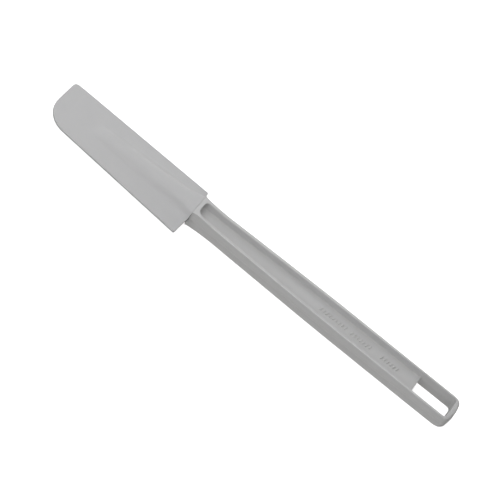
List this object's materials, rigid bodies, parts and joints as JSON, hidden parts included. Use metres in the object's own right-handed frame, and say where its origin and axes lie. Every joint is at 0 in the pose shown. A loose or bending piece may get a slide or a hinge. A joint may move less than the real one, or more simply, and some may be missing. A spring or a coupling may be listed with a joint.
{
  "type": "narrow bowl scraper",
  "caption": "Narrow kitchen scraper: flexible tapered blade with a thick central spine, pushed onto the tang of a rigid channel-section handle with a flared neck and a hang slot.",
  "frame": {"origin": "bottom centre of the bounding box, the scraper lying flat on its back", "axes": "+X from the blade's tip to the handle's hanging end, +Z out of the front face, +Y toward the blade's small tip corner. The handle's own axis is at Y = +2.126 mm, Z = 6 mm."},
  "size_m": [0.254, 0.0352, 0.012],
  "materials": {
    "handle": "moulded satin, warm light grey",
    "blade": "moulded matte, cool light grey"
  },
  "bodies": {
    "handle_body": {"handle": "handle"},
    "blade_body": {"blade": "blade"}
  },
  "joints": [
    {"name": "blade_pull_off", "type": "slide", "parent": "handle_body", "child": "blade_body", "axis": [-1, 0, 0], "range_m": [0, 0.064]}
  ]
}
